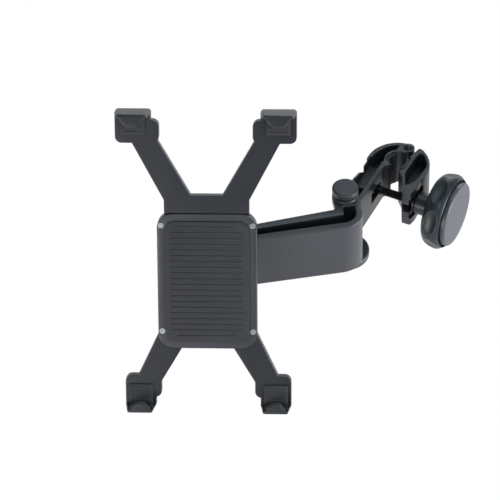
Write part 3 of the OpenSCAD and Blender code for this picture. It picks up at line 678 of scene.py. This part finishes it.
# %% Claw pads
leaf_thickness = 0.9
leaf_width = 16.0
leaf_length = 13.0
held_face = -21.3
back_ribs, edge_ribs = 4, 5
claw_rib_width = 1.5
for node, outward in (("upper_claw_pads", 1), ("lower_claw_pads", -1)):
    low, high = (corner / MM for corner in local_box(node, holder_frame))
    fold = (high.z if outward > 0 else low.z) - outward * leaf_thickness
    outer_fold, tail = fold + outward * leaf_thickness, fold - outward * leaf_length
    forms = []
    for side in (-1, 1):
        outer_edge = side * high.x
        inner_edge = outer_edge - side * leaf_width
        left, right = min(inner_edge, outer_edge), max(inner_edge, outer_edge)
        leaf_box = (left, min(outer_fold, tail), right, max(outer_fold, tail))
        forms.append(sheet_form(*leaf_box, 0.8, high.y, held_face + 0.35, 0.3))
        for row in range(back_ribs):
            height = fold - outward * (2.2 + row * 3.0)
            ends = [(x, held_face + 0.4, height) for x in (left + 1.2, right - 1.2)]
            forms.append(half_bar(*ends, (0, 0, 1), (0, -1, 0), claw_rib_width, 0.38))
        inner_shelf = fold + outward * 0.3
        shelf = [(left, inner_shelf), (left, outer_fold), (right, outer_fold), (right, inner_shelf)]
        depths = (held_face + 0.2, low.y + 0.2, low.y)
        forms.append(lofted([[(x, depth, z) for x, z in shelf] for depth in depths]))
        for column in range(edge_ribs):
            across = left + 1.6 + column * (leaf_width - 3.2) / (edge_ribs - 1)
            ends = [(across, depth, fold + outward * 0.35) for depth in (held_face - 0.4, low.y + 0.6)]
            forms.append(half_bar(*ends, (1, 0, 0), (0, 0, -outward), claw_rib_width, 0.33))
    piece(node.replace("_pads", "_rubber"), mesh_of(node, forms, holder_frame), node, smooth=40)
print("claw pads done")

# %% [markdown]
# ## The floor and the light
# The catalogue picture has a white ground and no strong shadows. Upright faces look paler than level ones
# because they mirror the white ground, so the ground is kept bright for glossy rays and the sky is kept
# dim. Five broad lamps give the long soft highlights.

# %% Floor
floor_mesh = bpy.data.meshes.new("floor")
reach = 6.0
floor_corners = [(-reach, -reach, 0), (reach, -reach, 0), (reach, reach, 0), (-reach, reach, 0)]
floor_mesh.from_pydata(floor_corners, [], [(0, 1, 2, 3)])
floor = bpy.data.objects.new("floor", floor_mesh)
floor.location = (0, 0, -300 * MM)
bpy.context.scene.collection.objects.link(floor)
ground = Sheet("ground")
ground.set(Base_Color=rgba(0.86, 0.86, 0.87), Roughness=0.9)
ray = ground.tree.nodes.new("ShaderNodeLightPath")
seen = Wire(ground, ray.outputs["Is Camera Ray"]) + Wire(ground, ray.outputs["Is Glossy Ray"])
seen = ground.clamp(seen + Wire(ground, ray.outputs["Is Transmission Ray"]))
glow = ground.node("ShaderNodeEmission", None, {"Color": rgba(1, 1, 1), "Strength": 1.04})
mixed = ground.node("ShaderNodeMixShader", None,
    {0: seen * 0.88, 1: Wire(ground, ground.shader.outputs[0]), 2: glow})
ground.tree.links.new(mixed.socket, ground.tree.nodes["Material Output"].inputs["Surface"])
floor_mesh.materials.append(ground.material)

# %% [markdown]
# ## Sky and lamps
# The camera sees a white world, but the object is lit by a dim bluish one, so that the white costs no
# contrast. The lamps do the rest: two low ones from the sides for the upright faces, two high ones for the
# level faces, and one behind to part the dark outline from its own shadows.

# %% Sky and lamps
world = bpy.data.worlds.new("studio")
bpy.context.scene.world = world
world.use_nodes = True
sky = world.node_tree
sky.nodes.clear()
sky_ray = sky.nodes.new("ShaderNodeLightPath")
dim = sky.nodes.new("ShaderNodeBackground")
dim.inputs["Color"].default_value = rgba(0.74, 0.86, 0.94)
dim.inputs["Strength"].default_value = 0.28
white = sky.nodes.new("ShaderNodeBackground")
white.inputs["Color"].default_value = rgba(1, 1, 1)
choice = sky.nodes.new("ShaderNodeMixShader")
sky_output = sky.nodes.new("ShaderNodeOutputWorld")
sky.links.new(sky_ray.outputs["Is Camera Ray"], choice.inputs[0])
sky.links.new(dim.outputs[0], choice.inputs[1])
sky.links.new(white.outputs[0], choice.inputs[2])
sky.links.new(choice.outputs[0], sky_output.inputs["Surface"])


def lamp(name, place, aim, width, power, colour=(1, 1, 1)):
    """A broad lamp at a place in metres, turned towards its aim."""
    data = bpy.data.lights.new(name, "AREA")
    data.shape = "RECTANGLE"
    data.size = width
    data.size_y = width * 0.7
    data.energy = power
    data.color = colour
    made = bpy.data.objects.new(name, data)
    bpy.context.scene.collection.objects.link(made)
    made.location = place
    made.rotation_euler = (Vector(aim) - Vector(place)).to_track_quat("-Z", "Y").to_euler()


middle = (-0.08, -0.06, 0.02)
lamp("front_left", (-1.3, -1.7, 0.15), middle, 1.1, 21, (1.0, 0.98, 0.99))
lamp("front_right", (1.6, -0.7, 0.10), middle, 0.9, 44, (0.92, 0.97, 1.0))
lamp("overhead", (0.1, 0.5, 1.7), middle, 1.3, 9, (0.80, 0.96, 1.0))
lamp("upper_front", (0.2, -1.2, 1.5), middle, 0.5, 6, (0.84, 0.97, 1.0))
lamp("behind", (0.7, 1.9, 0.7), middle, 1.2, 14)
bpy.context.scene.view_settings.view_transform = "Standard"
